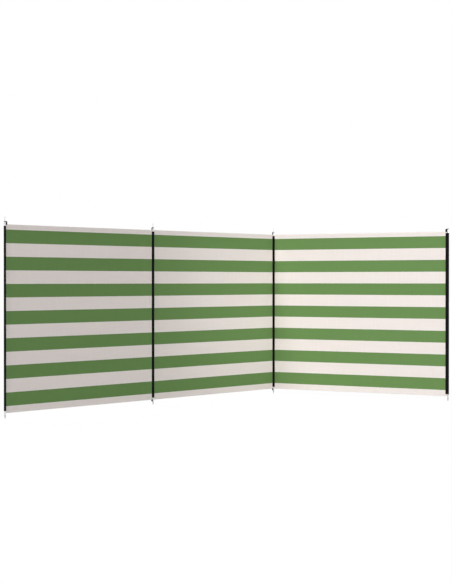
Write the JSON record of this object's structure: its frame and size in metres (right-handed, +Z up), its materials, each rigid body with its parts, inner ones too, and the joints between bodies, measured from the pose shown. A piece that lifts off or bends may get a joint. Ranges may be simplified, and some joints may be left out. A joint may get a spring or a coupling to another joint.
{
  "type": "beach windbreak",
  "caption": "Free-standing striped cloth windbreak in bays between spiked steel poles, the end bay turned square; bays swing about the poles.",
  "frame": {"origin": "on the axis of the corner pole, in the plane of its foot's flat shoulder, which stands on the ground", "axes": "+Y along the straight run from the left end pole to the corner pole, +X along the turned bay from the corner pole to the right end pole, +Z up"},
  "size_m": [1.8026, 3.5876, 1.5005],
  "materials": {
    "striped_cloth": "matt woven polyester in green and cream stripes",
    "sleeve_cloth": "matt black woven polyester",
    "webbing": "matt black ribbed webbing",
    "steel_tube": "zinc plated tube, satin",
    "forged_steel": "zinc plated, satin",
    "black_plastic": "moulded, matt",
    "eyelet_metal": "nickel plated"
  },
  "bodies": {
    "middle_bay": {"panel_middle": "striped_cloth", "tube_inner": "steel_tube", "spike_inner": "forged_steel", "cap_inner": "black_plastic", "pin_inner": "forged_steel", "sleeve_inner": "sleeve_cloth", "tube_corner": "steel_tube", "spike_corner": "forged_steel", "cap_corner": "black_plastic", "pin_corner": "forged_steel", "eyelet_corner": "eyelet_metal", "sleeve_corner": "sleeve_cloth", "strap_corner": "webbing", "peg_loop_corner": "webbing"},
    "left_bay": {"panel_left": "striped_cloth", "peg_loop_inner": "webbing", "strap_inner": "webbing", "eyelet_inner": "eyelet_metal", "tube_left": "steel_tube", "spike_left": "forged_steel", "cap_left": "black_plastic", "pin_left": "forged_steel", "eyelet_left": "eyelet_metal", "sleeve_left": "sleeve_cloth", "strap_left": "webbing"},
    "right_bay": {"panel_right": "striped_cloth", "tube_right": "steel_tube", "spike_right": "forged_steel", "cap_right": "black_plastic", "pin_right": "forged_steel", "eyelet_right": "eyelet_metal", "sleeve_right": "sleeve_cloth", "strap_right": "webbing"}
  },
  "joints": [
    {"name": "left_bay_swing", "type": "hinge", "parent": "middle_bay", "child": "left_bay", "pos_m": [0, -1.785, 0], "axis": [0, 0, 1], "range_deg": [-160, 90]},
    {"name": "right_bay_swing", "type": "hinge", "parent": "middle_bay", "child": "right_bay", "pos_m": [0, 0, 0], "axis": [0, 0, 1], "range_deg": [-75, 180]}
  ]
}
